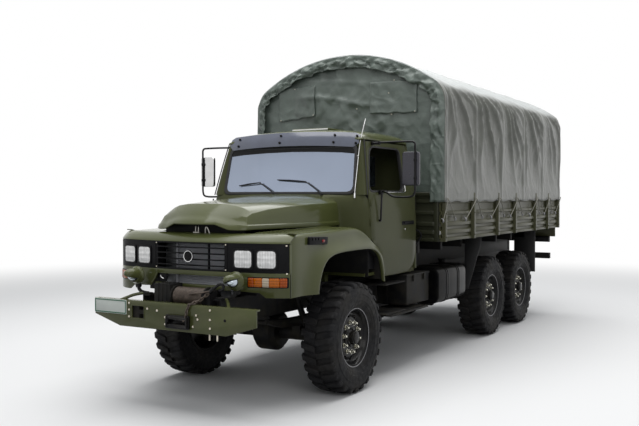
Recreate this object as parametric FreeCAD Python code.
"""Bonneted six-wheel military cargo truck with a canvas-covered load bed.

Millimetres, +Z up, the truck drives towards -Y and its left side is +X.
Inside this file Y is counted from the front axle; save() moves every piece
so that the origin lies on the ground under the middle of the truck.
"""
import FreeCAD, Part
import math
import os

from FreeCAD import Vector

# ---- overall sizes -------------------------------------------------------
WHEELBASE = 3900.0          # front axle to middle axle
BOGIE_SPACING = 1265.0      # middle axle to rear axle
REAR_OVERHANG = 1445.0      # rear axle to the closed tailgate
SKIN = 15.0                 # thickness given to sheet-metal walls
SEAT_GAP = 0.3              # clearance where two pieces rest without being one

# ---- wheels --------------------------------------------------------------
TYRE_R = 525.0
TYRE_WIDTH = 320.0
TRACK_HALF = 870.0          # truck centre to tyre centre
BEAD_R = 254.0              # twenty-inch bead seat
RIM_FLANGE_R = 282.0
RIM_HALF_WIDTH = 120.0
FLANGE_T = 12.0
RIM_WALL = 10.0
DISC_OFFSET = 40.0          # wheel disc, outboard of the tyre centre
DISC_T = 16.0
HUB_R = 95.0
HUB_CAP_REACH = 125.0       # end of the hub cap, outboard of the tyre centre
DRUM_R = 205.0
DRUM_REACH = 75.0           # inner face of the brake drum, inboard of the tyre centre
SPINDLE_R = 40.0
RUNNING_FIT = 0.05          # radial clearance of a shaft in its bore
SPINDLE_REACH = 60.0        # spindle end, outboard of the tyre centre
NUT_COUNT = 10
NUT_CIRCLE_R = 142.0
NUT_R = 16.0
NUT_REACH = 26.0

# ---- frame: everything above the axles is placed from the rails -----------
RAIL_X = 430.0              # outer face of a rail
RAIL_WIDTH = 80.0
RAIL_HEIGHT = 225.0
RAIL_WALL = 12.0
RAIL_FRONT = -1330.0
RAIL_BOTTOM = TYRE_R + 235.0
RAIL_TOP = RAIL_BOTTOM + RAIL_HEIGHT
CROSS_T = 80.0

# ---- axles, knuckles and springs ----------------------------------------
AXLE_TUBE_R = 75.0
DIFF_R = 195.0
DIFF_HALF_WIDTH = 130.0
DIFF_X = 60.0               # drive casing, left of centre
KINGPIN_X = TRACK_HALF - 140.0
KINGPIN_R = 20.0
KNUCKLE_R = 58.0
KNUCKLE_HALF_HEIGHT = 125.0
FORK_GAP = 6.0              # steering knuckle to fork ears
FORK_T = 40.0
FORK_R = 52.0
FORK_WEB = 26.0
KNUCKLE_FLANGE_R = 110.0
KNUCKLE_FLANGE_T = 16.0
STEER_GAP = 18.0            # drum face to knuckle flange
SPRING_WIDTH = 90.0
SPRING_SEAT = AXLE_TUBE_R + 5.0     # above the axle's centre
FRONT_SPRING_X = RAIL_X - 35.0
FRONT_SPRING_HALF = 650.0
REAR_SPRING_X = RAIL_X + 90.0
EYE_R = 25.0
EYE_Z = RAIL_BOTTOM - 48.0
SHAFT_Z = TYRE_R + 35.0
SHAFT_R = 36.0

# ---- bumper and winch ----------------------------------------------------
BUMPER_Y = -1460.0
BUMPER_HALF = 880.0
BUMPER_BOTTOM = RAIL_TOP - 275.0
BUMPER_END_BOTTOM = RAIL_TOP - 185.0
BUMPER_TOP = RAIL_TOP - 40.0
BUMPER_KNEE_X = 580.0
BUMPER_RETURN = 55.0
ROLLER_X = (-30.0, 200.0)
ROLLER_Z = (BUMPER_BOTTOM + 35.0, BUMPER_BOTTOM + 130.0)
ROLLER_REACH = 40.0         # rope rollers, ahead of the bumper
TOW_HOLE_X = (-RAIL_X - 10.0, -RAIL_X + 130.0)
TOW_HOLE_Z = (BUMPER_BOTTOM + 80.0, BUMPER_BOTTOM + 190.0)
TOW_LUG_T = 35.0            # flat shackle lug behind the tow hole, beside the right stay
TOW_LUG_REACH = 62.0
TOW_LUG_Y = BUMPER_Y + 55.0
TOW_LUG_BORE_R = 16.0
WINCH_Y = RAIL_FRONT + 32.0
WINCH_Z = RAIL_TOP + 5.0
WINCH_BASE_Z = WINCH_Z - 130.0
DRUM_X = (370.0 - RAIL_X, RAIL_X - 160.0)
WINCH_DRUM_R = 62.0
WINCH_FLANGE_R = 92.0

# ---- nose ----------------------------------------------------------------
PANEL_Y = -1180.0           # flat middle of the front panel
PANEL_KNEE_X = 460.0
PANEL_END_Y = -1040.0
PANEL_HALF = 935.0
PANEL_BOTTOM = RAIL_TOP + 15.0
PANEL_TOP = RAIL_TOP + 545.0
BAND_Z = (RAIL_TOP + 227.0, RAIL_TOP + 473.0)   # black grille and headlamp band
BAND_HALF = 925.0
GRILLE_HALF = 420.0
GRILLE_SLOTS = 4
GRILLE_BAR = 22.0
RADIATOR_HALF = 370.0
RADIATOR_Y = (-1090.0, -1020.0)
LAMP_Z = (RAIL_TOP + 255.0, RAIL_TOP + 407.0)
LAMP_X = ((462.0, 642.0), (668.0, 848.0))
SIGNAL_X = (520.0, 905.0)
SIGNAL_Z = (RAIL_TOP + 103.0, RAIL_TOP + 167.0)
FOG_X = 548.0
FOG_Y = -1300.0
FOG_Z = RAIL_TOP + 160.0
FOG_R = 78.0

# ---- engine, gearbox and transfer case -----------------------------------
ENGINE_HALF = RAIL_X - RAIL_WIDTH - 60.0
ENGINE_Y = (-740.0, 240.0)
ENGINE_Z = (RAIL_BOTTOM + 40.0, RAIL_TOP + 515.0)
GEARBOX_REAR_Y = 1000.0
TRANSFER_Y = (1900.0, 2350.0)

# ---- hood and fenders ----------------------------------------------------
HOOD_EDGE_Z = RAIL_TOP + 592.0
HOOD_NOSE_Y = PANEL_Y + 15.0
HOOD_CREASE_Y = -1000.0
HOOD_REAR_Y = 330.0
HOOD_T = 22.0
HOOD_HALF_FRONT = 510.0     # at the crease
HOOD_HALF_REAR = 655.0
HOOD_RISE = (108.0, 151.0, 299.0)   # crown above the edge at nose, crease and rear
HOOD_BUFFER_Y = (-700.0, 0.0)
FENDER_INNER_X = 455.0
FENDER_X = 950.0
FENDER_REAR_X = 966.0       # the skin steps out where it laps the cab
FENDER_LIP_X = 1000.0
FENDER_TOP_FRONT = HOOD_EDGE_Z - 49.0
FENDER_TOP_REAR = HOOD_EDGE_Z - 17.0
ARCH_FRONT_Y = -650.0
ARCH_REAR_Y = 640.0
ARCH_TOP = RAIL_TOP + 355.0
ARCH_LIP = 28.0

# ---- cab -----------------------------------------------------------------
CAB_FRONT_Y = HOOD_REAR_Y + 15.0
CAB_REAR_Y = 1550.0
CAB_WALL = 40.0
SILL_Z = RAIL_TOP + 45.0
SILL_X = 948.0
BELT_Z = RAIL_TOP + 893.0
BELT_X = 930.0
CANT_Z = RAIL_TOP + 1440.0  # where a side meets the roof
CANT_X = 822.0
ROOF_RISE = 140.0
ROOF_CROWN_Z = CANT_Z + ROOF_RISE
ROOF_T = 30.0
VENT_Y = (880.0, 1240.0)
VENT_X = (-180.0, 260.0)
FLOOR_Z = RAIL_TOP + 75.0
WINDSHIELD_BASE_Y = 377.0
WINDSHIELD_TOP_Y = 480.0
WINDSHIELD_TOP_Z = RAIL_TOP + 1377.0
WINDSHIELD_HALF = 788.0
WINDSHIELD_TOP_HALF = 765.0
WINDSHIELD_RIM = 45.0
GLASS_T = 8.0
REAR_WINDOW_HALF = 450.0
REAR_WINDOW_Z = (BELT_Z + 82.0, BELT_Z + 422.0)
DOOR_FRONT_Y = 410.0
DOOR_REAR_Y = CAB_REAR_Y - 50.0
DOOR_T = 42.0
DOOR_GAP = 6.0
DOOR_CUT_Z = SILL_Z + 140.0         # rear lower corner of a door is cut off
DOOR_CUT_Y = 110.0
DOOR_HINGE_X = 962.0
DOOR_HINGE_Y = DOOR_FRONT_Y - 18.0
DOOR_HINGE_Z = (BELT_Z - 278.0, BELT_Z - 68.0)
HINGE_PIN_R = 7.0
HANDLE_Z = BELT_Z - 308.0
WINDOW_Z = (BELT_Z + 52.0, BELT_Z + 490.0)
WINDOW_BASE_Y = (455.0, 1255.0)
WINDOW_TOP_Y = (600.0, 1310.0)
VISOR_Z = (CANT_Z - 53.0, CANT_Z + 95.0)
VISOR_HALF = 790.0
MIRROR_X = (1185.0, 1355.0)
MIRROR_Y = 660.0
MIRROR_Z = (BELT_Z + 47.0, BELT_Z + 472.0)
MIRROR_TUBE_R = 11.0
SEAT_Z = (BELT_Z - 458.0, BELT_Z - 338.0)
SEAT_BACK_TOP = BELT_Z + 82.0
SEAT_HALF = 690.0
WHEEL_X = 380.0             # steering wheel
WHEEL_Z = BELT_Z - 78.0
WHEEL_R = 225.0

# ---- load bed and canopy -------------------------------------------------
MIDDLE_AXLE_Y = WHEELBASE
REAR_AXLE_Y = WHEELBASE + BOGIE_SPACING
BOGIE_CENTRE_Y = WHEELBASE + BOGIE_SPACING / 2
BED_FRONT_Y = CAB_REAR_Y + 100.0
BED_REAR_Y = REAR_AXLE_Y + REAR_OVERHANG
BED_HALF = 1226.0           # outer face of the side posts
BOARD_T = 24.0
POST_DEPTH = 34.0
POST_WIDTH = 100.0
POST_SHARES = (0.014, 0.198, 0.379, 0.528, 0.722, 0.855)   # of the bed's length
SUBFRAME_HEIGHT = 225.0
BEARER_HEIGHT = 140.0
BEARER_Z = RAIL_TOP + SUBFRAME_HEIGHT
BED_BOTTOM = BEARER_Z + BEARER_HEIGHT
BED_FLOOR_T = 50.0
BOARD_TOP = BED_BOTTOM + 550.0
CROSS_BEARERS = 8
CANOPY_HALF = BED_HALF + 14.0
CANOPY_T = 8.0
CANOPY_HEM = BOARD_TOP - 110.0
CANOPY_CROWN = BOARD_TOP + 1590.0
CANOPY_SHOULDER = BOARD_TOP + 1140.0    # where the crown arc would meet the plumb side
CANOPY_CORNER_R = 320.0
CANOPY_FRONT_Y = BED_FRONT_Y - 12.0
CANOPY_REAR_Y = BED_REAR_Y - 50.0
CURTAIN_BOTTOM = BOARD_TOP + 5.0
BOW_COUNT = 6
BOW_DEPTH = 40.0
BOW_GAP = 0.5
TAILGATE_T = 40.0
TAILGATE_HINGE_Y = BED_REAR_Y + 16.0
TAILGATE_HINGE_Z = BED_BOTTOM + 22.0
TAILGATE_HINGE_X = (-800.0, 0.0, 800.0)
RAIL_REAR = BED_REAR_Y - 210.0
REAR_BAR_DEPTH = 80.0
REAR_BAR_Z = (RAIL_TOP - 125.0, RAIL_TOP - 35.0)
LAMP_BAR_Z = (RAIL_TOP + 145.0, RAIL_TOP + 215.0)
TOW_JAW_REACH = 70.0
TOW_JAW_R = 65.0
TOW_JAW_BORE_R = 19.0

# ---- beside the frame ----------------------------------------------------
STEP_Y = (660.0, 1150.0)
STEP_X = (640.0, 1000.0)
STEP_Z = (RAIL_TOP - 335.0, RAIL_TOP - 25.0)
LOW_STEP_Y = (700.0, 1640.0)
LOW_STEP_X = 1050.0
BATTERY_X = (600.0, 960.0)
BATTERY_Y = (1260.0, 1860.0)
BATTERY_Z = (RAIL_TOP - 305.0, RAIL_TOP + 15.0)
SPLASH_Y = MIDDLE_AXLE_Y - TYRE_R - 85.0
FLAP_Y = REAR_AXLE_Y + TYRE_R + 160.0
TANK_Y = (BATTERY_Y[1] + 80.0, SPLASH_Y - 490.0)
TANK_X = (640.0, 1050.0)
TANK_Z = (RAIL_TOP - 363.0, RAIL_TOP + 55.0)
TANK_CORNER_R = 90.0
TANK_STRAPS = (0.3, 0.72)   # places along the tank
SILENCER_X = -620.0
SILENCER_Y = (SPLASH_Y - 290.0, SPLASH_Y - 30.0)
SILENCER_R = 110.0

FRONT_REACH = ROLLER_REACH - BUMPER_Y
REAR_REACH = TAILGATE_HINGE_Y + 18.0        # the hinge eyes are rearmost
MIDDLE_OF_TRUCK = (REAR_REACH - FRONT_REACH) / 2
SIDES = (("left", 1), ("right", -1))


# ---- small helpers -------------------------------------------------------
def box(x, y, z):
    """Box from three (low, high) pairs."""
    corner = Vector(min(x), min(y), min(z))
    return Part.makeBox(abs(x[1] - x[0]), abs(y[1] - y[0]), abs(z[1] - z[0]), corner)


def rod_x(x, y, z, radius):
    return Part.makeCylinder(radius, abs(x[1] - x[0]), Vector(min(x), y, z), Vector(1, 0, 0))


def rod_y(y, x, z, radius):
    return Part.makeCylinder(radius, abs(y[1] - y[0]), Vector(x, min(y), z), Vector(0, 1, 0))


def rod_z(z, x, y, radius):
    return Part.makeCylinder(radius, abs(z[1] - z[0]), Vector(x, y, min(z)), Vector(0, 0, 1))


def prism(points, plane, low, high):
    """Extrude a closed outline; plane is the axis it is extruded along."""
    place = {
        "x": lambda a, b: Vector(low, a, b),
        "y": lambda a, b: Vector(a, low, b),
        "z": lambda a, b: Vector(a, b, low),
    }[plane]
    push = {"x": Vector(1, 0, 0), "y": Vector(0, 1, 0), "z": Vector(0, 0, 1)}[plane]
    loop = [place(a, b) for a, b in points]
    face = Part.Face(Part.makePolygon(loop + [loop[0]]))
    return face.extrude(push * (high - low))


def fuse(shapes):
    return shapes[0].multiFuse(shapes[1:]).removeSplitter() if len(shapes) > 1 else shapes[0]


def mirror(shape):
    """The same piece on the right-hand side."""
    return shape.mirror(Vector(0, 0, 0), Vector(1, 0, 0))


def on_side(shape, side):
    return shape if side > 0 else mirror(shape)


def both(shape):
    return [shape, mirror(shape)]


def save(name, shapes):
    """Write one node; several solids of a node don't touch each other."""
    shapes = shapes if isinstance(shapes, list) else [shapes]
    solids = [solid for shape in shapes for solid in shape.Solids]
    group = Part.makeCompound(solids) if len(solids) > 1 else solids[0]
    group.translate(Vector(0, -MIDDLE_OF_TRUCK, 0))
    group.exportStep(os.path.join("parts", name + ".step"))
    print(name, len(solids), "solid(s)")


def cab_side_x(z):
    """Half-width of the cab's outer side at a height."""
    if z < BELT_Z:
        return SILL_X + (BELT_X - SILL_X) * (z - SILL_Z) / (BELT_Z - SILL_Z)
    return BELT_X + (CANT_X - BELT_X) * (z - BELT_Z) / (CANT_Z - BELT_Z)


def windshield_y(z):
    """Outer face of the windshield at a height."""
    share = (z - BELT_Z) / (WINDSHIELD_TOP_Z - BELT_Z)
    return WINDSHIELD_BASE_Y + (WINDSHIELD_TOP_Y - WINDSHIELD_BASE_Y) * share


# ---- wheels --------------------------------------------------------------
def tyre(axle_y, side):
    half = TYRE_WIDTH / 2
    tread = half - 22
    bead = RIM_HALF_WIDTH - FLANGE_T
    wall = TYRE_R - RIM_FLANGE_R
    low = RIM_FLANGE_R + wall * 0.28
    outline = [  # (across, radius) from the centre of the tyre
        (-bead, BEAD_R), (bead, BEAD_R), (bead, RIM_FLANGE_R + 6), (half - 6, low),
        (half, low + wall / 3), (half - 8, TYRE_R - 45), (tread, TYRE_R), (-tread, TYRE_R),
        (-half + 8, TYRE_R - 45), (-half, low + wall / 3), (-half + 6, low),
        (-bead, RIM_FLANGE_R + 6)]
    loop = [Vector(TRACK_HALF + a, 0, r) for a, r in outline]
    face = Part.Face(Part.makePolygon(loop + [loop[0]]))
    ring = face.revolve(Vector(0, 0, 0), Vector(1, 0, 0), 360)
    ring.translate(Vector(0, axle_y, TYRE_R))
    return on_side(ring, side)


def rim(axle_y, side):
    centre = TRACK_HALF
    well = (centre - RIM_HALF_WIDTH, centre + RIM_HALF_WIDTH)

    def disc(x, radius):
        return rod_x(x, axle_y, TYRE_R, radius)

    barrel = disc(well, BEAD_R).fuse(disc((well[0], well[0] + FLANGE_T), RIM_FLANGE_R))
    barrel = barrel.fuse(disc((well[1] - FLANGE_T, well[1]), RIM_FLANGE_R))
    barrel = barrel.cut(disc((well[0] - 1, well[1] + 1), BEAD_R - RIM_WALL))
    plate_x = (centre + DISC_OFFSET, centre + DISC_OFFSET + DISC_T)
    pieces = [barrel, disc(plate_x, BEAD_R - RIM_WALL)]
    pieces.append(disc((centre - DRUM_REACH, plate_x[0]), DRUM_R))
    pieces.append(disc((plate_x[0], centre + HUB_CAP_REACH), HUB_R))
    for k in range(NUT_COUNT):
        turn = 2 * math.pi * k / NUT_COUNT
        y = axle_y + NUT_CIRCLE_R * math.cos(turn)
        z = TYRE_R + NUT_CIRCLE_R * math.sin(turn)
        pieces.append(rod_x((plate_x[1], plate_x[1] + NUT_REACH), y, z, NUT_R))
    wheel = fuse(pieces)
    bore_x = (centre - DRUM_REACH, centre + SPINDLE_REACH + 5)
    return on_side(wheel.cut(disc(bore_x, SPINDLE_R + RUNNING_FIT)), side)


def make_wheels():
    places = (("front", 0.0), ("middle", MIDDLE_AXLE_Y), ("rear", REAR_AXLE_Y))
    for place, axle_y in places:
        for word, side in SIDES:
            save(f"tyre_{place}_{word}", tyre(axle_y, side))
            save(f"rim_{place}_{word}", rim(axle_y, side))


# ---- axles, knuckles, springs -------------------------------------------
def drive_casing(axle_y):
    middle = rod_x((DIFF_X - DIFF_HALF_WIDTH, DIFF_X + DIFF_HALF_WIDTH), axle_y, TYRE_R, DIFF_R)
    return middle.makeChamfer(45, [e for e in middle.Edges if e.Closed])


def make_front_axle():
    web_x = KINGPIN_X - KNUCKLE_R - FORK_GAP * 2
    ear_z = KNUCKLE_HALF_HEIGHT + FORK_GAP
    pieces = [drive_casing(0.0)]
    pieces.append(rod_x((-web_x, web_x), 0, TYRE_R, AXLE_TUBE_R))
    for part in ears_and_pin(web_x, ear_z):
        pieces += both(part)
    for side in (1, -1):
        seat_x = side * FRONT_SPRING_X
        half = SPRING_WIDTH / 2
        seat_z = (TYRE_R, TYRE_R + SPRING_SEAT)
        pieces.append(box((seat_x - half, seat_x + half), (-80, 80), seat_z))
    save("front_axle", fuse(pieces))


def ears_and_pin(web_x, ear_z):
    """Fork at the left end of the front axle, with its kingpin."""
    top = TYRE_R + ear_z
    low = TYRE_R - ear_z
    parts = [box((web_x - FORK_WEB, web_x), (-FORK_R, FORK_R), (low - FORK_T, top + FORK_T))]
    for z in ((top, top + FORK_T), (low - FORK_T, low)):
        parts.append(box((web_x - FORK_WEB, KINGPIN_X), (-FORK_R, FORK_R), z))
        parts.append(rod_z(z, KINGPIN_X, 0, FORK_R))
    parts.append(rod_z((low, top), KINGPIN_X, 0, KINGPIN_R))
    return parts


def knuckle(side):
    flange_end = TRACK_HALF - DRUM_REACH - STEER_GAP
    heights = (TYRE_R - KNUCKLE_HALF_HEIGHT, TYRE_R + KNUCKLE_HALF_HEIGHT)
    pieces = [rod_z(heights, KINGPIN_X, 0, KNUCKLE_R)]
    pieces.append(rod_x((KINGPIN_X, flange_end), 0, TYRE_R, KNUCKLE_R))
    pieces.append(rod_x((flange_end - KNUCKLE_FLANGE_T, flange_end), 0, TYRE_R, KNUCKLE_FLANGE_R))
    pieces.append(rod_x((flange_end, TRACK_HALF + SPINDLE_REACH), 0, TYRE_R, SPINDLE_R))
    arm_z = (TYRE_R - 90, TYRE_R - 60)
    pieces.append(box((KINGPIN_X - 25, KINGPIN_X + 10), (40, 190), arm_z))
    body = fuse(pieces)
    bore = rod_z((heights[0] - 1, heights[1] + 1), KINGPIN_X, 0, KINGPIN_R + RUNNING_FIT)
    return on_side(body.cut(bore), side)


def make_knuckles():
    for word, side in SIDES:
        save(f"knuckle_{word}", knuckle(side))


def make_rear_axles():
    axles = []
    flange_end = TRACK_HALF - DRUM_REACH - STEER_GAP
    for axle_y in (MIDDLE_AXLE_Y, REAR_AXLE_Y):
        pieces = [drive_casing(axle_y)]
        pieces.append(rod_x((-flange_end, flange_end), axle_y, TYRE_R, AXLE_TUBE_R))
        for side in (1, -1):
            end = side * (TRACK_HALF + SPINDLE_REACH)
            pieces.append(rod_x((side * flange_end, end), axle_y, TYRE_R, SPINDLE_R))
            plate = (side * (flange_end - KNUCKLE_FLANGE_T), side * flange_end)
            pieces.append(rod_x(plate, axle_y, TYRE_R, KNUCKLE_FLANGE_R))
            seat_x = side * REAR_SPRING_X
            half = SPRING_WIDTH / 2
            seat_z = (TYRE_R, TYRE_R + SPRING_SEAT)
            seat = box((seat_x - half, seat_x + half), (axle_y - 70, axle_y + 70), seat_z)
            pieces.append(seat)
        axles.append(fuse(pieces))
    save("rear_axles", axles)


def make_leaf_springs():
    seat = TYRE_R + SPRING_SEAT
    half = SPRING_WIDTH / 2
    tip = FRONT_SPRING_HALF
    front = [  # (along, height) of the leaf stack
        (-tip, EYE_Z - 12), (-tip * 0.6, seat + 22), (-90, seat), (90, seat),
        (tip * 0.6, seat + 22), (tip, EYE_Z - 12), (tip, EYE_Z + 10),
        (tip * 0.5, EYE_Z - 22), (0, EYE_Z - 30), (-tip * 0.5, EYE_Z - 22), (-tip, EYE_Z + 10)]
    springs = []
    width = (FRONT_SPRING_X - half, FRONT_SPRING_X + half)
    stack = [prism(front, "x", *width)]
    for end in (-tip, tip):
        stack.append(rod_x(width, end, EYE_Z, EYE_R))
    springs += both(fuse(stack))

    reach = BOGIE_SPACING / 2
    saddle = seat + 60
    rear = [
        (-reach - 60, seat), (-reach + 60, seat), (-85, saddle), (85, saddle),
        (reach - 60, seat), (reach + 60, seat), (reach + 60, seat + 22), (100, saddle + 95),
        (-100, saddle + 95), (-reach - 60, seat + 22)]
    rear = [(BOGIE_CENTRE_Y + along, z) for along, z in rear]
    springs += both(prism(rear, "x", REAR_SPRING_X - half, REAR_SPRING_X + half))
    save("leaf_springs", springs)


# ---- frame and drive line ------------------------------------------------
def make_frame():
    length = (RAIL_FRONT, RAIL_REAR)
    inner = RAIL_X - RAIL_WIDTH
    rail = box((inner, RAIL_X), length, (RAIL_BOTTOM, RAIL_TOP))
    inside_z = (RAIL_BOTTOM + RAIL_WALL, RAIL_TOP - RAIL_WALL)
    rail = rail.cut(box((inner - 1, RAIL_X - RAIL_WALL), (length[0] - 1, length[1] + 1), inside_z))
    pieces = both(rail)
    web = RAIL_X - RAIL_WALL
    pieces.append(box((-web, web), (RAIL_FRONT, WINCH_Y + 60), (RAIL_BOTTOM, WINCH_BASE_Z)))
    for y in (-960.0, 1250.0, MIDDLE_AXLE_Y - 950, BOGIE_CENTRE_Y - 40, REAR_AXLE_Y + 585,
              RAIL_REAR - CROSS_T):
        pieces.append(box((-web, web), (y, y + CROSS_T), (RAIL_BOTTOM + 30, RAIL_TOP - 30)))
    half = SPRING_WIDTH / 2
    for end in (-FRONT_SPRING_HALF, FRONT_SPRING_HALF):
        hanger = box((FRONT_SPRING_X - half, FRONT_SPRING_X + half), (end - 45, end + 45),
                     (EYE_Z + EYE_R + SEAT_GAP, RAIL_BOTTOM))
        pieces += both(hanger)
    seat = TYRE_R + SPRING_SEAT
    saddle_x = (RAIL_X - 30, REAR_SPRING_X + half)
    along = (BOGIE_CENTRE_Y - 85, BOGIE_CENTRE_Y + 85)
    pieces += both(box(saddle_x, along, (seat, seat + 60)))
    pieces += both(box((RAIL_X - 30, RAIL_X + 30), along, (seat, RAIL_BOTTOM + 120)))
    save("frame", fuse(pieces))


def make_power_train():
    """The engine is one plain block on four feet that reach the rails."""
    pieces = [box((-ENGINE_HALF, ENGINE_HALF), ENGINE_Y, ENGINE_Z)]
    web = RAIL_X - RAIL_WALL
    for y in (ENGINE_Y[0] + 140, ENGINE_Y[1] - 180):
        foot = box((ENGINE_HALF, web), (y, y + 90), (RAIL_TOP - 90, RAIL_TOP - 60))
        pieces += both(foot)
    save("engine", fuse(pieces))

    gearbox = box((-170, 170), (ENGINE_Y[1], GEARBOX_REAR_Y), (RAIL_BOTTOM - 60, RAIL_TOP + 50))
    link = rod_y((GEARBOX_REAR_Y, TRANSFER_Y[0]), 0, RAIL_BOTTOM - 20, 42)
    transfer = box((-230, 230), TRANSFER_Y, (TYRE_R - 25, RAIL_TOP - 35))
    hang_y = sum(TRANSFER_Y) / 2
    arms = both(box((200, web), (hang_y - 50, hang_y + 50), (RAIL_TOP - 105, RAIL_TOP - 45)))
    front_shaft = rod_y((DIFF_R + SEAT_GAP, TRANSFER_Y[0]), DIFF_X, SHAFT_Z, SHAFT_R)
    middle_end = MIDDLE_AXLE_Y - DIFF_R - SEAT_GAP
    middle_shaft = rod_y((TRANSFER_Y[1], middle_end), DIFF_X, SHAFT_Z, SHAFT_R)
    ends = (MIDDLE_AXLE_Y + DIFF_R + SEAT_GAP, REAR_AXLE_Y - DIFF_R - SEAT_GAP)
    rear_shaft = rod_y(ends, DIFF_X, SHAFT_Z, SHAFT_R)
    line = fuse([gearbox, link, transfer, front_shaft, middle_shaft] + arms)
    save("drive_line", [line, rear_shaft])

    foot_z = RAIL_TOP + 55
    core = box((-RADIATOR_HALF, RADIATOR_HALF), RADIATOR_Y, (foot_z, RAIL_TOP + 505))
    feet = both(box((RADIATOR_HALF - 120, RADIATOR_HALF), RADIATOR_Y, (RAIL_TOP, foot_z)))
    save("radiator", fuse([core] + feet))


# ---- bumper and winch ----------------------------------------------------
def make_front_bumper():
    face = [(-BUMPER_HALF, BUMPER_END_BOTTOM), (-BUMPER_KNEE_X, BUMPER_BOTTOM),
            (BUMPER_KNEE_X, BUMPER_BOTTOM), (BUMPER_HALF, BUMPER_END_BOTTOM),
            (BUMPER_HALF, BUMPER_TOP), (-BUMPER_HALF, BUMPER_TOP)]
    plate = prism(face, "y", BUMPER_Y, BUMPER_Y + SKIN)
    plate = plate.cut(box(ROLLER_X, (BUMPER_Y - 1, BUMPER_Y + SKIN + 1), ROLLER_Z))
    plate = plate.cut(box(TOW_HOLE_X, (BUMPER_Y - 1, BUMPER_Y + SKIN + 1), TOW_HOLE_Z))
    shelf = box((-BUMPER_HALF, BUMPER_HALF), (BUMPER_Y, BUMPER_Y + BUMPER_RETURN),
                (BUMPER_TOP - SKIN, BUMPER_TOP))
    pieces = [plate, shelf]
    stay_x = (RAIL_X - 60, RAIL_X)
    stay = box(stay_x, (BUMPER_Y + SKIN, RAIL_FRONT), (RAIL_BOTTOM, BUMPER_TOP - SKIN))
    pieces += both(stay)
    lug_x = (-stay_x[0], -stay_x[0] + TOW_LUG_REACH)
    middle = sum(TOW_HOLE_Z) / 2
    lug_z = (middle - TOW_LUG_T / 2, middle + TOW_LUG_T / 2)
    pieces.append(box(lug_x, (BUMPER_Y + SKIN, TOW_LUG_Y + 35), lug_z))
    pin_hole = rod_z((lug_z[0] - 1, lug_z[1] + 1), sum(lug_x) / 2, TOW_LUG_Y, TOW_LUG_BORE_R)
    save("front_bumper", fuse(pieces).cut(pin_hole))

    (x0, x1), (z0, z1) = ROLLER_X, ROLLER_Z
    cheek = 14.0
    back = BUMPER_Y + 60
    front = BUMPER_Y - ROLLER_REACH
    frame = [box((x0, x0 + cheek), (front, back), (z0, z1))]
    frame.append(box((x1 - cheek, x1), (front, back), (z0, z1)))
    for z in (z0 + 16, z1 - 16):
        frame.append(rod_x((x0, x1), BUMPER_Y - 18, z, 14))
    save("rope_rollers", fuse(frame))


def make_winch():
    x0, x1 = DRUM_X
    cheek = 14.0
    floor = WINCH_BASE_Z + SKIN
    pieces = [rod_x((x0, x1), WINCH_Y, WINCH_Z, WINCH_DRUM_R)]
    for x in ((x0 - cheek, x0), (x1, x1 + cheek)):
        pieces.append(rod_x(x, WINCH_Y, WINCH_Z, WINCH_FLANGE_R))
    ends = (  # x range, half-depth and height of the gear case and the far bearing
        ((x0 - 190, x0 - cheek), 85, WINCH_Z + 105), ((x1 + cheek, x1 + 60), 55, WINCH_Z + 70))
    for x, half, top in ends:
        pieces.append(box(x, (WINCH_Y - half, WINCH_Y + half), (floor, top)))
    pieces.append(box((x0 - 200, x1 + 70), (WINCH_Y - 88, WINCH_Y + 88), (WINCH_BASE_Z, floor)))
    save("winch", fuse(pieces))


# ---- nose ----------------------------------------------------------------
def nose_band(depth_front, depth_back, reach):
    """Plan outline of a band that follows the front panel."""
    knee = PANEL_KNEE_X
    slope = (PANEL_END_Y - PANEL_Y) / (PANEL_HALF - knee)
    end_y = PANEL_Y + slope * (reach - knee)
    front = [(-reach, end_y), (-knee, PANEL_Y), (knee, PANEL_Y), (reach, end_y)]
    return ([(x, y + depth_front) for x, y in front]
            + [(x, y + depth_back) for x, y in reversed(front)])


def make_front_panel():
    wall = prism(nose_band(0, SKIN, PANEL_HALF), "z", PANEL_BOTTOM, PANEL_TOP)
    deep = (PANEL_Y - 50, PANEL_END_Y + 80)
    wall = wall.cut(box((-BAND_HALF, BAND_HALF), deep, BAND_Z))
    openings = (  # half-width, low, high of each opening round the radiator
        (RADIATOR_HALF, PANEL_BOTTOM - 1, PANEL_BOTTOM + 55),
        (RADIATOR_HALF, PANEL_BOTTOM + 80, PANEL_BOTTOM + 135))
    for half, low, high in openings:
        wall = wall.cut(box((-half, half), deep, (low, high)))
    tray = nose_band(0, SKIN, PANEL_HALF)[:4] + [(PANEL_HALF, PANEL_END_Y + 20),
                                                 (-PANEL_HALF, PANEL_END_Y + 20)]
    top = prism(tray, "z", PANEL_TOP - SKIN, PANEL_TOP)
    save("front_panel", fuse([wall, top] + strut_pair()))


def strut_pair():
    """Uprights that carry the front panel on the frame rails."""
    upright = box((RAIL_X - 55, RAIL_X), (PANEL_Y + SKIN, PANEL_Y + SKIN + 45),
                  (RAIL_TOP, PANEL_TOP - SKIN))
    return both(upright)


def make_grille():
    low, high = BAND_Z
    frame = prism(nose_band(0, SKIN, BAND_HALF), "z", low + SEAT_GAP, high - SEAT_GAP)
    deep = (PANEL_Y - 50, PANEL_END_Y + 80)
    bar = GRILLE_BAR
    pitch = (high - low - bar) / GRILLE_SLOTS
    half = GRILLE_HALF - 20
    for k in range(GRILLE_SLOTS):
        z0 = low + bar + k * pitch
        frame = frame.cut(box((-half, half), deep, (z0, z0 + pitch - bar)))
    for x0, x1 in LAMP_X:
        for side in (1, -1):
            frame = frame.cut(box((side * x0, side * x1), deep, LAMP_Z))
    save("grille", frame.Solids)


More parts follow.
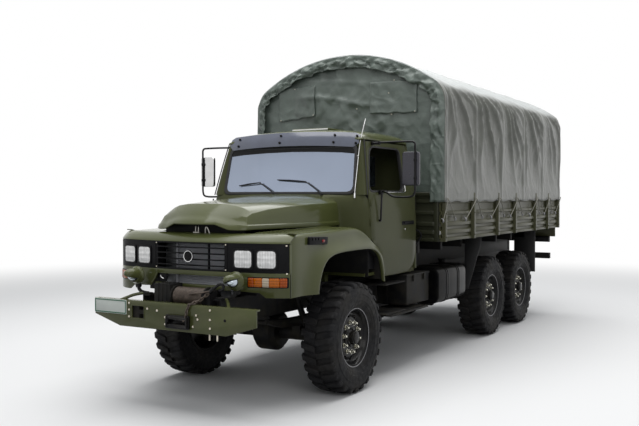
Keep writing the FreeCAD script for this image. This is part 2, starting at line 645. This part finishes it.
def make_lamps():
    slope = (PANEL_END_Y - PANEL_Y) / (PANEL_HALF - PANEL_KNEE_X)

    def lamp(x0, x1, z, proud, back):
        y0, y1 = (PANEL_Y + slope * (x - PANEL_KNEE_X) for x in (x0, x1))
        plan = [(x0, y0 - proud), (x1, y1 - proud), (x1, y1 + back), (x0, y0 + back)]
        return prism(plan, "z", *z)

    lamps = []
    for x0, x1 in LAMP_X:
        gap = SEAT_GAP
        inset_z = (LAMP_Z[0] + gap, LAMP_Z[1] - gap)
        lamps += both(lamp(x0 + gap, x1 - gap, inset_z, 4, 30))
    save("headlamps", lamps)

    signals = both(lamp(*SIGNAL_X, SIGNAL_Z, 22, 0))
    save("turn_signals", signals)

    bowl = rod_y((FOG_Y, FOG_Y + 95), FOG_X, FOG_Z, FOG_R)
    bowl = bowl.makeChamfer(35, [e for e in bowl.Edges if e.Closed
                                 and e.CenterOfMass.y > FOG_Y + 50])
    bracket = box((FOG_X - 25, FOG_X + 25), (FOG_Y + 30, FOG_Y + 60),
                  (RAIL_TOP + 5, FOG_Z - FOG_R + 15))
    foot = box((RAIL_X - 60, FOG_X + 25), (FOG_Y + 30, FOG_Y + 60),
               (RAIL_TOP, RAIL_TOP + SKIN))
    save("fog_lamps", both(fuse([bowl, bracket, foot])))


# ---- hood and fenders ----------------------------------------------------
def hood_section(y, width, edge, shoulder, top):
    """Outline across the hood: side flange, chamfer facet and crowned top."""
    side = [(width, edge), (width, edge + 45), (width - 30, edge + 75)]
    facet = [(width - shoulder, top - 22), (width * 0.35, top)]
    half = side + facet
    points = half + [(-x, z) for x, z in reversed(half)]
    loop = [Vector(x, y, z) for x, z in points]
    return Part.makePolygon(loop + [loop[0]])


def make_hood():
    stations = (  # y, half-width, edge height, shoulder inset, top height
        (HOOD_NOSE_Y, HOOD_HALF_FRONT - 10, HOOD_EDGE_Z, 60.0, HOOD_EDGE_Z + HOOD_RISE[0]),
        (HOOD_CREASE_Y, HOOD_HALF_FRONT, HOOD_EDGE_Z, 75.0, HOOD_EDGE_Z + HOOD_RISE[1]),
        (HOOD_REAR_Y, HOOD_HALF_REAR, HOOD_EDGE_Z, 200.0, HOOD_EDGE_Z + HOOD_RISE[2]))
    outer = Part.makeLoft([hood_section(*s) for s in stations], True, True)
    inner = []
    for (y, half, edge, shoulder, top), push in zip(stations, (HOOD_T, 0, 1)):
        inner.append(hood_section(y + push, half - HOOD_T, edge - 2, shoulder, top - HOOD_T))
    inner = Part.makeLoft(inner, True, True)
    hood = outer.cut(inner)
    vent = box((-370, 260), (HOOD_NOSE_Y - 50, HOOD_CREASE_Y - 60), (HOOD_EDGE_Z - 5, HOOD_EDGE_Z + 29))
    save("hood", hood.cut(vent))


def fender_outline(inset):
    top_front = FENDER_TOP_FRONT - inset
    top_rear = FENDER_TOP_REAR - inset
    return [  # (along, height)
        (PANEL_END_Y + 20 + inset, PANEL_BOTTOM), (PANEL_END_Y + 20 + inset, top_front),
        (ARCH_REAR_Y - 490 - inset / 2, top_rear),
        (ARCH_REAR_Y - 340 - inset, FENDER_TOP_REAR - 60 - inset),
        (ARCH_REAR_Y - 210 - inset, ARCH_TOP + 60 - inset),
        (ARCH_REAR_Y + 20 - inset, ARCH_TOP - 10 - inset * 2),
        (ARCH_REAR_Y + 20 - inset, PANEL_BOTTOM)]


def arch_outline(grow, below):
    """Wheel arch with cut corners, open below."""
    front, rear, top = ARCH_FRONT_Y - grow, ARCH_REAR_Y + grow, ARCH_TOP + grow
    return [(front, below), (front + 30, PANEL_BOTTOM + 60), (front + 190, top - 90),
            (front + 400, top), (rear - 350, top), (rear - 130, top - 60),
            (rear - 20, PANEL_BOTTOM + 120), (rear, below)]


def hood_half_width(y):
    share = (y - HOOD_CREASE_Y) / (HOOD_REAR_Y - HOOD_CREASE_Y)
    return HOOD_HALF_FRONT + (HOOD_HALF_REAR - HOOD_HALF_FRONT) * share


def make_fenders():
    inner_wall = FENDER_INNER_X + SKIN
    front = PANEL_END_Y + 20
    step_y = CAB_FRONT_Y - 30
    shell = prism(fender_outline(0), "x", FENDER_INNER_X, FENDER_X)
    hollow = prism(fender_outline(SKIN), "x", inner_wall, FENDER_X - SKIN)
    base = box((inner_wall, FENDER_X - SKIN), (front + SKIN, ARCH_REAR_Y + 5),
               (PANEL_BOTTOM - 1, PANEL_BOTTOM + 60))
    shell = shell.cut(hollow).cut(base)
    lap = prism(fender_outline(0), "x", FENDER_X - SKIN, FENDER_REAR_X)
    lap = lap.common(box((FENDER_X - SKIN, FENDER_REAR_X), (step_y - SKIN, ARCH_REAR_Y + 60),
                         (PANEL_BOTTOM - 20, HOOD_EDGE_Z)))
    lip = prism(arch_outline(ARCH_LIP, PANEL_BOTTOM - 15), "x", FENDER_X - SKIN, FENDER_LIP_X)
    left = fuse([shell, lap, lip])
    left = left.cut(prism(arch_outline(0, PANEL_BOTTOM - 20), "x", inner_wall, FENDER_LIP_X + 1))
    behind = box((FENDER_INNER_X - 1, FENDER_X + 0.5), (step_y, ARCH_REAR_Y + 60),
                 (PANEL_BOTTOM - 20, HOOD_EDGE_Z))
    pieces = [left.cut(behind)]
    for y in HOOD_BUFFER_Y:
        x1 = hood_half_width(y)
        pieces.append(box((x1 - 30, x1), (y - 25, y + 25),
                          (FENDER_TOP_FRONT - SKIN / 2, HOOD_EDGE_Z - SEAT_GAP)))
    left = fuse(pieces)
    save("fender_left", left)
    save("fender_right", mirror(left))


# ---- cab -----------------------------------------------------------------
def side_wall(low, high, y, thick):
    """Slab that follows the cab's left side between two heights."""
    heights = sorted({low, high} | {z for z in (BELT_Z,) if low < z < high})
    outer = [(cab_side_x(z), z) for z in heights]
    inner = [(x - thick, z) for x, z in reversed(outer)]
    return prism(outer + inner, "y", *y)


def make_cab_floor():
    rear_inside = CAB_REAR_Y - CAB_WALL
    floor_half = cab_side_x(FLOOR_Z) - DOOR_T - DOOR_GAP * 2
    floor = box((-floor_half, floor_half), (CAB_FRONT_Y + CAB_WALL, rear_inside),
                (FLOOR_Z, FLOOR_Z + SKIN * 2))
    mounts = []
    for y in (CAB_FRONT_Y + 80, rear_inside - 140):
        mounts += both(box((RAIL_X - 60, RAIL_X), (y, y + 60), (RAIL_TOP, FLOOR_Z)))
    half = SEAT_HALF + 10
    seat_box = box((-half, half), (rear_inside - 480, rear_inside), (FLOOR_Z + 30, SEAT_Z[0]))
    seat_box = seat_box.cut(box((-SEAT_HALF + 10, SEAT_HALF - 10),
                                (rear_inside - 460, rear_inside + 1),
                                (FLOOR_Z + 29, SEAT_Z[0] - 20)))
    save("cab_floor", fuse([floor, seat_box] + mounts))


def make_windshield_frame():
    """Toe board, cowl, pillars and header: the front of the cab shell."""
    half = cab_side_x(BELT_Z) - 8
    toe = box((-half, half), (CAB_FRONT_Y, CAB_FRONT_Y + CAB_WALL), (SILL_Z + 30, BELT_Z))
    sides = both(side_wall(SILL_Z + 30, BELT_Z, (CAB_FRONT_Y, DOOR_FRONT_Y - DOOR_GAP), CAB_WALL))
    top = CANT_Z
    lean = [(windshield_y(BELT_Z), BELT_Z), (windshield_y(top), top)]
    slab = lean + [(y + CAB_WALL, z) for y, z in reversed(lean)]
    width = [(BELT_X - 8, BELT_Z), (cab_side_x(top), top)]
    widen = prism(width + [(-x, z) for x, z in reversed(width)], "y", 300, 700)
    screen = prism(slab, "x", -BELT_X, BELT_X).common(widen)
    edge = WINDSHIELD_RIM
    hole = [(WINDSHIELD_HALF - edge, BELT_Z + edge),
            (WINDSHIELD_TOP_HALF - edge, WINDSHIELD_TOP_Z - edge)]
    window = prism(hole + [(-x, z) for x, z in reversed(hole)], "y", 300, 700)
    hinges = []
    for z in DOOR_HINGE_Z:
        hinges += both(rod_z((z - 40, z + 40), DOOR_HINGE_X, DOOR_HINGE_Y, HINGE_PIN_R))
        for low in (z - 40, z + 24 + SEAT_GAP):
            hinges += both(box((BELT_X - 10, DOOR_HINGE_X + 4), (DOOR_HINGE_Y - 8, DOOR_HINGE_Y + 8),
                               (low, low + 16 - SEAT_GAP)))
    save("windshield_frame", fuse([toe, screen.cut(window)] + sides + hinges))


def windshield_pane():
    outline = [(WINDSHIELD_HALF - 20, BELT_Z + 12),
               (WINDSHIELD_TOP_HALF - 20, WINDSHIELD_TOP_Z - 12)]
    face = prism(outline + [(-x, z) for x, z in reversed(outline)], "y", 300, 700)
    lean = [(windshield_y(z) - SEAT_GAP, z) for z in (BELT_Z - 20, WINDSHIELD_TOP_Z + 20)]
    slab = lean + [(y - GLASS_T, z) for y, z in reversed(lean)]
    pane = prism(slab, "x", -BELT_X, BELT_X).common(face)
    return pane


def make_cab_rear():
    """Back wall with a window; returns the pane of that window."""
    y0, y1 = CAB_REAR_Y - CAB_WALL, CAB_REAR_Y
    outline = [(cab_side_x(z), z) for z in (SILL_Z + 30, BELT_Z, CANT_Z)]
    wall = prism(outline + [(-x, z) for x, z in reversed(outline)], "y", y0, y1)
    wall = wall.cut(box((-REAR_WINDOW_HALF, REAR_WINDOW_HALF), (y0 - 1, y1 + 1), REAR_WINDOW_Z))
    save("cab_rear_wall", wall)
    pane_half = REAR_WINDOW_HALF - SEAT_GAP
    pane = box((-pane_half, pane_half), (y0 + 12, y0 + 12 + GLASS_T),
               (REAR_WINDOW_Z[0] + SEAT_GAP, REAR_WINDOW_Z[1] - SEAT_GAP))
    return pane


def make_roof():
    """Crowned roof panel with its drip rails and a low ventilator lid."""
    front = windshield_y(CANT_Z)
    base = CANT_Z + SEAT_GAP
    ribs = []
    half_outline = [(CANT_X, base), (CANT_X, base + 18),
                    (CANT_X * 0.78, ROOF_CROWN_Z - 55), (CANT_X * 0.39, ROOF_CROWN_Z - 14),
                    (0, ROOF_CROWN_Z)]
    outline = half_outline + [(-x, z) for x, z in reversed(half_outline[:-1])]
    shell = prism(outline, "y", front, CAB_REAR_Y)
    inner = [(x * 0.955, z - ROOF_T) for x, z in half_outline[1:]]
    inner = [(inner[0][0], base - 5)] + inner
    hollow = prism(inner + [(-x, z) for x, z in reversed(inner[:-1])], "y",
                   front + CAB_WALL, CAB_REAR_Y - CAB_WALL)
    ribs.append(shell.cut(hollow))
    ribs.append(box(VENT_X, VENT_Y, (ROOF_CROWN_Z - 40, ROOF_CROWN_Z + 28)))
    body = fuse(ribs)
    save("roof", body)

    low, high = VISOR_Z
    y0 = windshield_y(low) - 70
    sheet = [(y0, low), (y0 + 6, low), (y0 + 66, high), (y0 + 60, high)]
    visor = prism(sheet, "x", -VISOR_HALF, VISOR_HALF)
    stay_z = (WINDSHIELD_TOP_Z + 22, WINDSHIELD_TOP_Z + 34)
    stays = []
    for x in (-560.0, 0.0, 560.0):
        stays.append(box((x - 15, x + 15), (y0 + 8, windshield_y(stay_z[0])), stay_z))
    save("sun_visor", fuse([visor] + stays))


def door(side):
    y = (DOOR_FRONT_Y, DOOR_REAR_Y)
    slab = side_wall(SILL_Z, CANT_Z - DOOR_GAP, y, DOOR_T)
    slope = [(WINDOW_BASE_Y[0] - 200, BELT_Z), (windshield_y(BELT_Z) + 52, BELT_Z),
             (windshield_y(CANT_Z) + 60, CANT_Z + 5), (WINDOW_BASE_Y[0] - 200, CANT_Z + 5)]
    slab = slab.cut(prism(slope, "x", 500, 1100))
    window = [(WINDOW_BASE_Y[0], WINDOW_Z[0] + 60), (WINDOW_BASE_Y[0] + 50, WINDOW_Z[0]),
              (WINDOW_BASE_Y[1] - 60, WINDOW_Z[0]), (WINDOW_BASE_Y[1], WINDOW_Z[0] + 60),
              (WINDOW_TOP_Y[1], WINDOW_Z[1] - 70), (WINDOW_TOP_Y[1] - 70, WINDOW_Z[1]),
              (WINDOW_TOP_Y[0] + 10, WINDOW_Z[1]), (WINDOW_TOP_Y[0] - 40, WINDOW_Z[1] - 70)]
    slab = slab.cut(prism(window, "x", 500, 1100))
    corner = [(DOOR_REAR_Y - DOOR_CUT_Y, SILL_Z - 1), (DOOR_REAR_Y + 1, SILL_Z - 1),
              (DOOR_REAR_Y + 1, DOOR_CUT_Z)]
    slab = slab.cut(prism(corner, "x", 500, 1100))
    clear = DOOR_GAP + 6
    arch = [(y + clear, z + clear) for y, z in fender_outline(0)]
    slab = slab.cut(prism(arch, "x", 500, 1100))
    handle_x = cab_side_x(HANDLE_Z)
    pieces = [slab, box((handle_x - 1, handle_x + 20), (DOOR_REAR_Y - 470, DOOR_REAR_Y - 330),
                        (HANDLE_Z - 15, HANDLE_Z + 20))]
    bores = []
    for z in DOOR_HINGE_Z:
        barrel = (z - 24, z + 24)
        pieces.append(rod_z(barrel, DOOR_HINGE_X, DOOR_HINGE_Y, HINGE_PIN_R * 2))
        pieces.append(box((cab_side_x(z) - 20, DOOR_HINGE_X + HINGE_PIN_R),
                          (DOOR_FRONT_Y, DOOR_FRONT_Y + 50), barrel))
        pieces.append(box((DOOR_HINGE_X - HINGE_PIN_R, DOOR_HINGE_X + HINGE_PIN_R),
                          (DOOR_HINGE_Y, DOOR_FRONT_Y + 1), barrel))
        bores.append(rod_z((z - 41, z + 41), DOOR_HINGE_X, DOOR_HINGE_Y,
                           HINGE_PIN_R + RUNNING_FIT))
    leaf = fuse(pieces)
    for bore in bores:
        leaf = leaf.cut(bore)
    return on_side(leaf, side)


def mirror_arm(side):
    """C-shaped tube on the door, with the mirror head at its outer end."""
    x0, x1 = MIRROR_X
    arm_x = x0 + 60
    low, high = MIRROR_Z[0] - 50, CANT_Z - 5
    r = MIRROR_TUBE_R
    high -= 30
    y = MIRROR_Y + 40
    tube = [rod_z((low, high), arm_x, y, r)]
    for z in (low, high):
        foot = cab_side_x(z - r) + SEAT_GAP
        tube.append(rod_x((foot, arm_x), y, z, r))
    head = box((x0, x1), (MIRROR_Y - 30, MIRROR_Y + 32), MIRROR_Z)
    return on_side(fuse([head] + tube), side)


def make_doors():
    for word, side in SIDES:
        save(f"door_{word}", door(side))
        save(f"mirror_{word}", mirror_arm(side))


def make_cab_inside():
    rear_inside = CAB_REAR_Y - CAB_WALL
    width = (-SEAT_HALF, SEAT_HALF)
    cushion = box(width, (rear_inside - 480, rear_inside - 110), SEAT_Z)
    back = box(width, (rear_inside - 110, rear_inside - 10), (SEAT_Z[0], SEAT_BACK_TOP))
    save("seats", fuse([cushion, back]))
    toe_back = CAB_FRONT_Y + CAB_WALL
    dash = [(toe_back, BELT_Z - 238), (toe_back + 200, BELT_Z - 238),
            (toe_back + 200, BELT_Z - 118), (toe_back + 60, BELT_Z - 28), (toe_back, BELT_Z - 18)]
    save("dashboard", prism(dash, "x", -WINDSHIELD_HALF, WINDSHIELD_HALF))
    hub = Vector(WHEEL_X, toe_back + 330, WHEEL_Z)
    lean = Vector(0, math.sin(math.radians(40)), math.cos(math.radians(40)))
    wheel = Part.makeTorus(WHEEL_R, 13, hub, lean)
    column = Part.makeCylinder(22, 300, hub - lean * 290, lean)
    spoke = Part.makeBox(WHEEL_R * 2, 30, 12, Vector(-WHEEL_R, -15, -6))
    spoke.Placement = FreeCAD.Placement(hub, FreeCAD.Rotation(Vector(0, 0, 1), lean))
    inside = box((0, BELT_X), (toe_back + 200 + SEAT_GAP, CAB_REAR_Y), (FLOOR_Z, CANT_Z))
    save("steering_wheel", fuse([wheel, column, spoke]).common(inside))


# ---- beside the frame ----------------------------------------------------
def make_underbody():
    tank = box(TANK_X, TANK_Y, TANK_Z)
    long_edges = [e for e in tank.Edges if abs(e.tangentAt(e.FirstParameter).y) > 0.9]
    tank = tank.makeFillet(TANK_CORNER_R, long_edges)
    holders = []
    for share in TANK_STRAPS:
        y = TANK_Y[0] + share * (TANK_Y[1] - TANK_Y[0])
        holders.append(box((RAIL_X, TANK_X[0] + 5), (y - 30, y + 30),
                           (RAIL_BOTTOM + 40, RAIL_BOTTOM + 140)))
    save("fuel_tanks", both(fuse([tank] + holders)))

    (x0, x1), (z0, z1) = STEP_X, STEP_Z
    tread = 12
    left = [box(STEP_X, STEP_Y, (z0, z0 + tread)), box((x0, x0 + 20), STEP_Y, STEP_Z),
            box((x0, x1 - 10), STEP_Y, (z1 - tread, z1)),
            box((x0, LOW_STEP_X), LOW_STEP_Y, (z0 - 18, z0))]
    for y in (STEP_Y[0] + 60, STEP_Y[1] - 90):
        left.append(box((RAIL_X, x0 + 5), (y, y + 60), (RAIL_BOTTOM + 40, RAIL_BOTTOM + 100)))
    save("cab_steps", both(fuse(left)))

    case = box(BATTERY_X, BATTERY_Y, BATTERY_Z)
    shelf = box((RAIL_X, BATTERY_X[0]), (BATTERY_Y[0] + 140, BATTERY_Y[1] - 160),
                (RAIL_BOTTOM, RAIL_BOTTOM + 60))
    save("battery_boxes", both(fuse([case, shelf])))

    axis_z = RAIL_BOTTOM + 40
    can = rod_y(SILENCER_Y, SILENCER_X, axis_z, SILENCER_R)
    middle = sum(SILENCER_Y) / 2
    hanger = box((SILENCER_X + 80, -RAIL_X), (middle - 40, middle + 40), (axis_z, axis_z + 60))
    pipe = rod_y((SILENCER_Y[0] - 200, SILENCER_Y[0]), SILENCER_X, axis_z, 40)
    save("silencer", fuse([can, hanger, pipe]))


def make_mud_guards():
    """Tapered splash plates ahead of the middle wheels, flaps behind the last."""
    x0, x1 = TRACK_HALF - 20, TRACK_HALF + 200
    low = BED_BOTTOM - 690
    plate = [(x0, BED_BOTTOM), (x1, BED_BOTTOM), (x1, BED_BOTTOM - 90), (x0 + 50, low), (x0, low)]
    ahead = prism(plate, "y", SPLASH_Y, SPLASH_Y + SKIN)
    half = TYRE_WIDTH / 2
    flap = box((TRACK_HALF - half - 10, TRACK_HALF + half), (FLAP_Y, FLAP_Y + SKIN),
               (BED_BOTTOM - 660, BED_BOTTOM))
    save("mud_guards", both(ahead) + both(flap))


def make_rear_bar():
    y = (RAIL_REAR, RAIL_REAR + REAR_BAR_DEPTH)
    (low, high), eye_y, r = REAR_BAR_Z, y[1] + TOW_JAW_REACH, TOW_JAW_R
    bar = box((-1100, 1100), y, REAR_BAR_Z)
    rail = box((-1090, 1090), y, LAMP_BAR_Z)
    drops = both(box((RAIL_X - RAIL_WIDTH, RAIL_X), y, (low, LAMP_BAR_Z[1])))
    jaw = []
    for z in ((low, low + 24), (high - 24, high)):
        jaw.append(box((-r, r), (y[1], eye_y), z))
        jaw.append(rod_z(z, 0, eye_y, r))
    pin_hole = rod_z((low - 1, high + 1), 0, eye_y, TOW_JAW_BORE_R)
    save("rear_bar", fuse([bar, rail] + drops + jaw).cut(pin_hole))
    save("tail_lamps", both(box((820, 1080), (y[1], y[1] + 45),
                                 (LAMP_BAR_Z[0] - 5, LAMP_BAR_Z[1] + 5))))


# ---- load bed ------------------------------------------------------------
def make_bed_floor():
    half = BED_HALF - POST_DEPTH - BOARD_T
    top = BED_BOTTOM + BED_FLOOR_T
    pieces = [box((-half, half), (BED_FRONT_Y + BOARD_T, BED_REAR_Y - TAILGATE_T - DOOR_GAP),
                  (BED_BOTTOM, top))]
    span = BED_REAR_Y - BED_FRONT_Y - 300
    for k in range(CROSS_BEARERS):
        y = BED_FRONT_Y + 120 + k * span / (CROSS_BEARERS - 1)
        pieces.append(box((-half, half), (y, y + 70), (BEARER_Z, BED_BOTTOM)))
    pieces += both(box((RAIL_X - RAIL_WIDTH, RAIL_X), (BED_FRONT_Y + 60, RAIL_REAR),
                       (RAIL_TOP, BEARER_Z)))
    pin_z = TAILGATE_HINGE_Z
    for x in TAILGATE_HINGE_X:
        for low in (x - 74, x + 60 + SEAT_GAP):
            ear_x = (low, low + 14 - SEAT_GAP)
            pieces.append(box(ear_x, (BED_REAR_Y - 120, TAILGATE_HINGE_Y + 6),
                              (pin_z - 46, pin_z - 24)))
            pieces.append(box(ear_x, (TAILGATE_HINGE_Y - 6, TAILGATE_HINGE_Y + 6),
                              (pin_z - 26, pin_z)))
        pieces.append(rod_x((x - 74, x + 74), TAILGATE_HINGE_Y, pin_z, HINGE_PIN_R))
    save("bed_floor", fuse(pieces))


def post_places():
    """Y of each side post, front corner to rear corner."""
    length = BED_REAR_Y - BED_FRONT_Y
    return [BED_FRONT_Y + share * length for share in POST_SHARES] + [BED_REAR_Y - TAILGATE_T - 60]


def make_bed_sides():
    skin_x = (BED_HALF - POST_DEPTH - BOARD_T, BED_HALF - POST_DEPTH)
    length = (BED_FRONT_Y, BED_REAR_Y - TAILGATE_T - DOOR_GAP)
    pieces = [box(skin_x, length, (BED_BOTTOM, BOARD_TOP))]
    for y in post_places():
        post = box((skin_x[1], BED_HALF), (y - POST_WIDTH / 2, y + POST_WIDTH / 2),
                   (BED_BOTTOM, BOARD_TOP))
        pieces.append(post)
    side = fuse(pieces)
    save("bed_side_left", side)
    save("bed_side_right", mirror(side))
    inner = skin_x[0]
    save("bed_front_board", box((-inner, inner), (BED_FRONT_Y, BED_FRONT_Y + BOARD_T),
                                (BED_BOTTOM, BOARD_TOP)))


def make_tailgate():
    half = BED_HALF - POST_DEPTH
    y0 = BED_REAR_Y - TAILGATE_T
    panel = box((-half, half), (y0, BED_REAR_Y), (BED_BOTTOM + 10, BOARD_TOP))
    pieces = [panel]
    for x in TAILGATE_HINGE_X:
        eye = rod_x((x - 60, x + 60), TAILGATE_HINGE_Y, TAILGATE_HINGE_Z, 18)
        strap = box((x - 60, x + 60), (BED_REAR_Y - 5, BED_REAR_Y + 10),
                    (TAILGATE_HINGE_Z - 12, TAILGATE_HINGE_Z + 160))
        pieces += [eye, strap]
    bore = HINGE_PIN_R + RUNNING_FIT
    pin = rod_x((-BED_HALF, BED_HALF), TAILGATE_HINGE_Y, TAILGATE_HINGE_Z, bore)
    save("tailgate", fuse(pieces).cut(pin))


def arch_face(inset, y, low):
    """Face of the canopy's outline, moved inwards by inset."""
    half = CANOPY_HALF - inset
    crown = CANOPY_CROWN - inset
    corner = CANOPY_CORNER_R - inset
    rise = CANOPY_CROWN - CANOPY_SHOULDER
    big = (CANOPY_HALF ** 2 + rise ** 2) / (2 * rise) - inset
    centre_z = crown - big
    corner_x = half - corner
    corner_z = centre_z + math.sqrt((big - corner) ** 2 - corner_x ** 2)
    lean = math.atan2(corner_z - centre_z, corner_x)
    join = (corner_x + corner * math.cos(lean), corner_z + corner * math.sin(lean))
    mid = lean / 2
    knuckle_point = (corner_x + corner * math.cos(mid), corner_z + corner * math.sin(mid))

    def at(x, z):
        return Vector(x, y, z)

    edges = [
        Part.LineSegment(at(-half, low), at(half, low)),
        Part.LineSegment(at(half, low), at(half, corner_z)),
        Part.Arc(at(half, corner_z), at(*knuckle_point), at(*join)),
        Part.Arc(at(*join), at(0, crown), at(-join[0], join[1])),
        Part.Arc(at(-join[0], join[1]), at(-knuckle_point[0], knuckle_point[1]),
                 at(-half, corner_z)),
        Part.LineSegment(at(-half, corner_z), at(-half, low))]
    return Part.Face(Part.Wire([edge.toShape() for edge in edges]))


def make_canopy():
    length = CANOPY_REAR_Y - CANOPY_FRONT_Y
    cloth = arch_face(0, CANOPY_FRONT_Y, CANOPY_HEM).extrude(Vector(0, length, 0))
    hollow = arch_face(CANOPY_T, CANOPY_FRONT_Y + CANOPY_T, CANOPY_HEM - 1)
    cloth = cloth.cut(hollow.extrude(Vector(0, length, 0)))
    half = CANOPY_HALF - 60
    below = box((-half, half), (CANOPY_FRONT_Y - 1, CANOPY_FRONT_Y + CANOPY_T + 1),
                (CANOPY_HEM - 1, CURTAIN_BOTTOM))
    save("canopy", cloth.cut(below))


def bow_places():
    first = BED_FRONT_Y + 70
    last = CANOPY_REAR_Y - 60
    return [first + k * (last - first) / (BOW_COUNT - 1) for k in range(BOW_COUNT)]


def make_canopy_bows():
    inset = CANOPY_T + BOW_GAP
    bows = []
    for y in bow_places():
        outer = arch_face(inset, y - 20, BOARD_TOP).extrude(Vector(0, 40, 0))
        inner = arch_face(inset + BOW_DEPTH, y - 21, BOARD_TOP - 1).extrude(Vector(0, 42, 0))
        bows.append(outer.cut(inner))
    length = (bow_places()[0], bow_places()[-1])
    rails = [box((-20, 20), length, (CANOPY_CROWN - inset - BOW_DEPTH, CANOPY_CROWN - inset - 4))]
    rail_x = CANOPY_HALF - inset - BOW_DEPTH
    purlin_z = BOARD_TOP + 580
    rails += both(box((rail_x, rail_x + 30), length, (purlin_z, purlin_z + 40)))
    save("canopy_bows", fuse(bows + rails))


def main():
    os.makedirs("parts", exist_ok=True)
    make_wheels()
    make_front_axle()
    make_knuckles()
    make_rear_axles()
    make_leaf_springs()
    make_frame()
    make_power_train()
    make_front_bumper()
    make_winch()
    make_front_panel()
    make_grille()
    make_lamps()
    make_hood()
    make_fenders()
    make_cab_floor()
    make_windshield_frame()
    save("cab_windows", [windshield_pane(), make_cab_rear()])
    make_roof()
    make_doors()
    make_cab_inside()
    make_underbody()
    make_mud_guards()
    make_rear_bar()
    make_bed_floor()
    make_bed_sides()
    make_tailgate()
    make_canopy()
    make_canopy_bows()


main()
